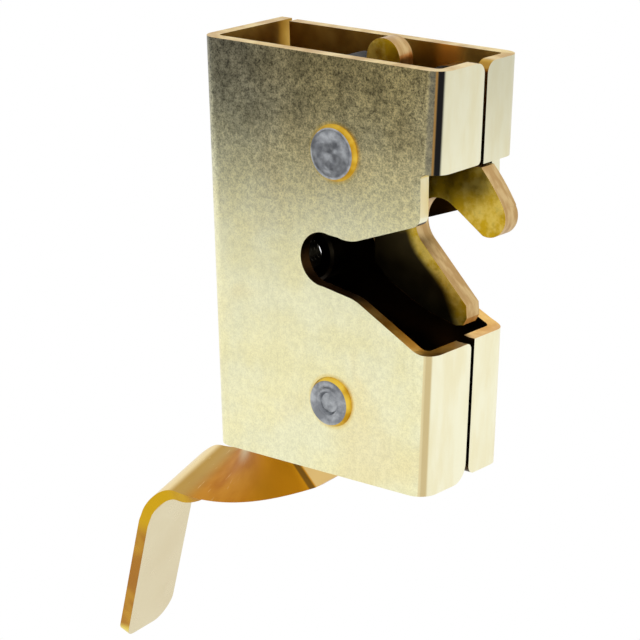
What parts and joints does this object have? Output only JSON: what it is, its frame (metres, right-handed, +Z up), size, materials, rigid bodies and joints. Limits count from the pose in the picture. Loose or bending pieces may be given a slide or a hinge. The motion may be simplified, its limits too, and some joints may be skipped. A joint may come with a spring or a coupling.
{
  "type": "truck door lock",
  "caption": "Rotary fork door latch in a folded, zinc-plated steel case with an open striker mouth, a pawl on a riveted pivot and a twisted sheet-steel release lever with a finger tab.",
  "frame": {"origin": "axis of the left fixing thread, on the back face that lies against the door", "axes": "+X towards the side where the striker enters, +Y out of the back face into the door, +Z up; the front plate with the two rivet heads faces -Y"},
  "size_m": [0.1134, 0.0347, 0.1564],
  "materials": {
    "case_sheet": "yellow zinc plate, satin with fine grain",
    "lever_sheet": "yellow zinc plate, satin",
    "fork_steel": "yellow zinc plate over hardened steel, mottled",
    "rivets": "clear zinc plate, satin",
    "nuts": "yellow zinc plate",
    "inner_steel": "plain zinc plate",
    "spring_wire": "oiled spring steel",
    "rubber": "matte"
  },
  "bodies": {
    "case": {"front_shell": "case_sheet", "back_plate": "case_sheet", "rotor_pin": "rivets", "pawl_pin": "rivets", "mounting_nuts": "nuts", "rotor_front_spacer": "inner_steel", "rotor_rear_spacer": "inner_steel", "rotor_washers": "inner_steel", "rotor_stop_pin": "inner_steel", "stop_buffer": "rubber", "rotor_spring": "spring_wire", "lever_front_spacer": "inner_steel", "lever_rear_spacer": "inner_steel", "pawl_rear_spacer": "inner_steel", "pawl_washers": "inner_steel", "pawl_stop_pin": "inner_steel", "pawl_spring": "spring_wire"},
    "fork": {"rotor": "fork_steel", "rotor_spring_peg": "inner_steel"},
    "pawl_and_lever": {"pawl": "fork_steel", "release_lever": "lever_sheet", "lever_link_pin": "inner_steel"}
  },
  "joints": [
    {"name": "rotor_pivot", "type": "hinge", "parent": "case", "child": "fork", "pos_m": [0.0227, -0.01035, 0.0295], "axis": [0, 1, 0], "range_deg": [0, 52], "stiffness_Nm_per_rad": 0.1, "springref_deg": -57.3, "deforming": ["rotor_spring"]},
    {"name": "pawl_pivot", "type": "hinge", "parent": "case", "child": "pawl_and_lever", "pos_m": [0.022, -0.01035, -0.0243], "axis": [0, 1, 0], "range_deg": [0, 14], "deforming": ["pawl_spring"]}
  ]
}
